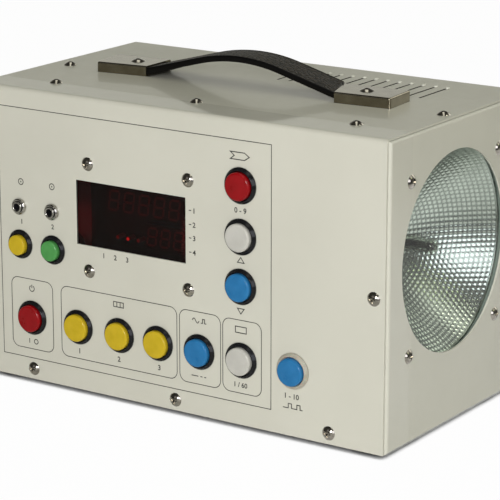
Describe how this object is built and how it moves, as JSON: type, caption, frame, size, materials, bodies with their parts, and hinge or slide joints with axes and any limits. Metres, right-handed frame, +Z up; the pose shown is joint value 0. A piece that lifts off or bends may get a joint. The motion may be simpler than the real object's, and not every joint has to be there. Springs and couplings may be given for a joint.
{
  "type": "xenon stroboscope",
  "caption": "Bench xenon stroboscope: sheet-steel box on feet with a strap handle, a push-button panel with a red display window, and a dimpled flash lamp behind glass in one end.",
  "frame": {"origin": "on the table under the middle of the case, at the underside of the feet", "axes": "+X along the case to the lamp end, +Y from the control panel to the back, +Z up"},
  "size_m": [0.2417, 0.1442, 0.1683],
  "materials": {
    "case_paint": "fine textured powder coat",
    "zinc_plate": "bright zinc plate",
    "screw_nickel": "nickel plate",
    "jack_nickel": "nickel plate",
    "jack_black": "moulded",
    "foot_rubber": "moulded",
    "strap_black": "grained cover over a moulded strap",
    "spring_steel": "blued strip",
    "handle_chrome": "nickel plated sheet",
    "window_red": "tinted acrylic",
    "board_green": "solder mask",
    "digit_red": "moulded",
    "lamp_red": "clear tinted",
    "button_black": "moulded",
    "button_clear": "milky moulded",
    "nut_black": "moulded",
    "cap_red": "moulded",
    "cap_yellow": "moulded",
    "cap_green": "moulded",
    "cap_blue": "moulded",
    "cap_white": "moulded",
    "reflector_aluminium": "peened and anodised",
    "lamp_glass": "clear",
    "gasket_rubber": "cut sheet",
    "tube_glass": "clear",
    "electrode_metal": "drawn",
    "socket_bakelite": "moulded",
    "coil_black": "potted",
    "core_steel": "varnished laminations",
    "winding_tape": "wound tape",
    "can_sleeve": "shrink sleeve",
    "inlet_black": "moulded",
    "pin_brass": "nickel plate"
  },
  "bodies": {
    "case": {"base_tray": "zinc_plate", "board_screws": "screw_nickel", "button_bodies": "button_black", "button_nuts": "nut_black", "case_screws": "screw_nickel", "digit_displays": "digit_red", "display_board": "board_green", "display_pillars": "zinc_plate", "display_screws": "screw_nickel", "display_window": "window_red", "flash_capacitors": "can_sleeve", "front_glass": "lamp_glass", "fuse_holder": "inlet_black", "glass_gasket": "gasket_rubber", "handle_cap_left": "handle_chrome", "handle_cap_right": "handle_chrome", "handle_core": "spring_steel", "handle_nuts": "screw_nickel", "handle_screws": "screw_nickel", "handle_strap": "strap_black", "indicator_lamps": "lamp_red", "inlet_pins": "pin_brass", "jack_bodies": "jack_black", "jack_nuts": "jack_nickel", "lamp_end_plate": "case_paint", "lamp_pillars": "zinc_plate", "lamp_retainer": "zinc_plate", "lamp_screws": "screw_nickel", "lamp_spacers": "zinc_plate", "main_board": "board_green", "main_board_pillars": "zinc_plate", "plain_end_plate": "case_paint", "power_inlet": "inlet_black", "pulse_button_body": "button_clear", "reflector": "reflector_aluminium", "rubber_feet": "foot_rubber", "small_button_bodies": "button_black", "socket_plate": "zinc_plate", "socket_screws": "screw_nickel", "top_rail": "zinc_plate", "transformer_core": "core_steel", "transformer_winding": "winding_tape", "trigger_coil": "coil_black", "tube_electrodes": "electrode_metal", "tube_socket": "socket_bakelite", "wrap_cover": "case_paint", "xenon_tube": "tube_glass"},
    "start_button": {"start_button": "cap_yellow"},
    "stop_button": {"stop_button": "cap_green"},
    "power_button": {"power_button": "cap_red"},
    "memory_1_button": {"memory_1_button": "cap_yellow"},
    "memory_2_button": {"memory_2_button": "cap_yellow"},
    "memory_3_button": {"memory_3_button": "cap_yellow"},
    "mode_button": {"mode_button": "cap_blue"},
    "display_button": {"display_button": "cap_white"},
    "unit_button": {"unit_button": "cap_red"},
    "up_button": {"up_button": "cap_white"},
    "down_button": {"down_button": "cap_blue"},
    "pulse_button": {"pulse_button": "cap_blue"},
    "fuse_cap": {"fuse_cap": "inlet_black"}
  },
  "joints": [
    {"name": "start_press", "type": "slide", "parent": "case", "child": "start_button", "axis": [0, 1, 0], "range_m": [0, 0.0018], "stiffness_N_per_m": 800},
    {"name": "stop_press", "type": "slide", "parent": "case", "child": "stop_button", "axis": [0, 1, 0], "range_m": [0, 0.0018], "stiffness_N_per_m": 800},
    {"name": "power_press", "type": "slide", "parent": "case", "child": "power_button", "axis": [0, 1, 0], "range_m": [0, 0.002], "stiffness_N_per_m": 800},
    {"name": "memory_1_press", "type": "slide", "parent": "case", "child": "memory_1_button", "axis": [0, 1, 0], "range_m": [0, 0.002], "stiffness_N_per_m": 800},
    {"name": "memory_2_press", "type": "slide", "parent": "case", "child": "memory_2_button", "axis": [0, 1, 0], "range_m": [0, 0.002], "stiffness_N_per_m": 800},
    {"name": "memory_3_press", "type": "slide", "parent": "case", "child": "memory_3_button", "axis": [0, 1, 0], "range_m": [0, 0.002], "stiffness_N_per_m": 800},
    {"name": "mode_press", "type": "slide", "parent": "case", "child": "mode_button", "axis": [0, 1, 0], "range_m": [0, 0.002], "stiffness_N_per_m": 800},
    {"name": "display_press", "type": "slide", "parent": "case", "child": "display_button", "axis": [0, 1, 0], "range_m": [0, 0.002], "stiffness_N_per_m": 800},
    {"name": "unit_press", "type": "slide", "parent": "case", "child": "unit_button", "axis": [0, 1, 0], "range_m": [0, 0.002], "stiffness_N_per_m": 800},
    {"name": "up_press", "type": "slide", "parent": "case", "child": "up_button", "axis": [0, 1, 0], "range_m": [0, 0.002], "stiffness_N_per_m": 800},
    {"name": "down_press", "type": "slide", "parent": "case", "child": "down_button", "axis": [0, 1, 0], "range_m": [0, 0.002], "stiffness_N_per_m": 800},
    {"name": "pulse_press", "type": "slide", "parent": "case", "child": "pulse_button", "axis": [0, 1, 0], "range_m": [0, 0.002], "stiffness_N_per_m": 800},
    {"name": "fuse_cap_turn", "type": "hinge", "parent": "case", "child": "fuse_cap", "pos_m": [0.065, 0.07, 0.0342], "axis": [0, 1, 0], "range_deg": [0, 90]}
  ]
}
